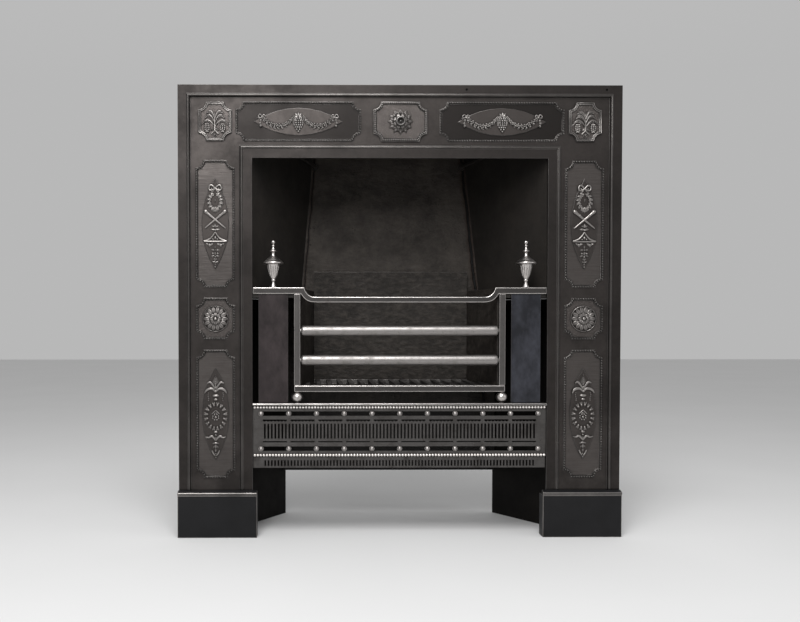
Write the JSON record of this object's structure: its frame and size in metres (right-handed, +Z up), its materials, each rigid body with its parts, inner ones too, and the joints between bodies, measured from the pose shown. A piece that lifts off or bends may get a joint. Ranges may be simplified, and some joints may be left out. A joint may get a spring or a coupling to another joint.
{
  "type": "cast iron register fireplace",
  "caption": "Cast iron register fireplace with a relief-moulded surround, plinth blocks, a barred coal basket, steel rail and urn finials, a pierced studded fret and a hinged flue flap.",
  "frame": {"origin": "centre of the overall box, on the hearth line under the plinths", "axes": "+Z up, -Y out of the front towards the room, +X to the right as seen from the room"},
  "size_m": [1.006, 0.3182, 1.021],
  "materials": {
    "frame_iron": "blackened and waxed, satin",
    "plinth_iron": "blackened, satin",
    "rough_iron": "as cast, sooted",
    "back_iron": "as cast, worn and pitted",
    "polished_steel": "burnished",
    "blued_steel": "heat-darkened, satin"
  },
  "bodies": {
    "fireplace": {"surround_frame": "frame_iron", "plinth_left": "plinth_iron", "plinth_right": "plinth_iron", "centre_rosette": "frame_iron", "rosette_boss": "frame_iron", "hob_side_left": "rough_iron", "hob_side_right": "rough_iron", "hob_plate_left": "rough_iron", "hob_plate_right": "rough_iron", "cheek_left": "back_iron", "cheek_right": "back_iron", "fireback": "back_iron", "throat_plate": "rough_iron", "stay_left": "rough_iron", "stay_right": "rough_iron", "basket_back_plate": "back_iron", "basket_side_plate_left": "rough_iron", "basket_side_plate_right": "rough_iron", "bottom_bar": "polished_steel", "post_left": "polished_steel", "post_right": "polished_steel", "bar_upper": "polished_steel", "bar_lower": "polished_steel", "top_rail": "polished_steel", "ball_foot_left": "polished_steel", "ball_foot_right": "polished_steel", "finial_left": "polished_steel", "finial_right": "polished_steel", "pilaster_plate_left": "blued_steel", "pilaster_plate_right": "blued_steel", "fret_shelf": "polished_steel", "fret_plate": "polished_steel", "bead_rod_upper": "polished_steel", "bead_rod_lower": "polished_steel", "fret_lower_strip": "polished_steel"},
    "flue_flap": {"register_flap": "rough_iron"},
    "loose_grate": {"bottom_grate": "rough_iron"}
  },
  "joints": [
    {"name": "register_flap_hinge", "type": "hinge", "parent": "fireplace", "child": "flue_flap", "pos_m": [0, 0.08387, 0.94], "axis": [-1, 0, 0], "range_deg": [0, 100]},
    {"name": "bottom_grate_lift", "type": "slide", "parent": "fireplace", "child": "loose_grate", "axis": [0, 0, 1], "range_m": [0, 0.2]}
  ]
}
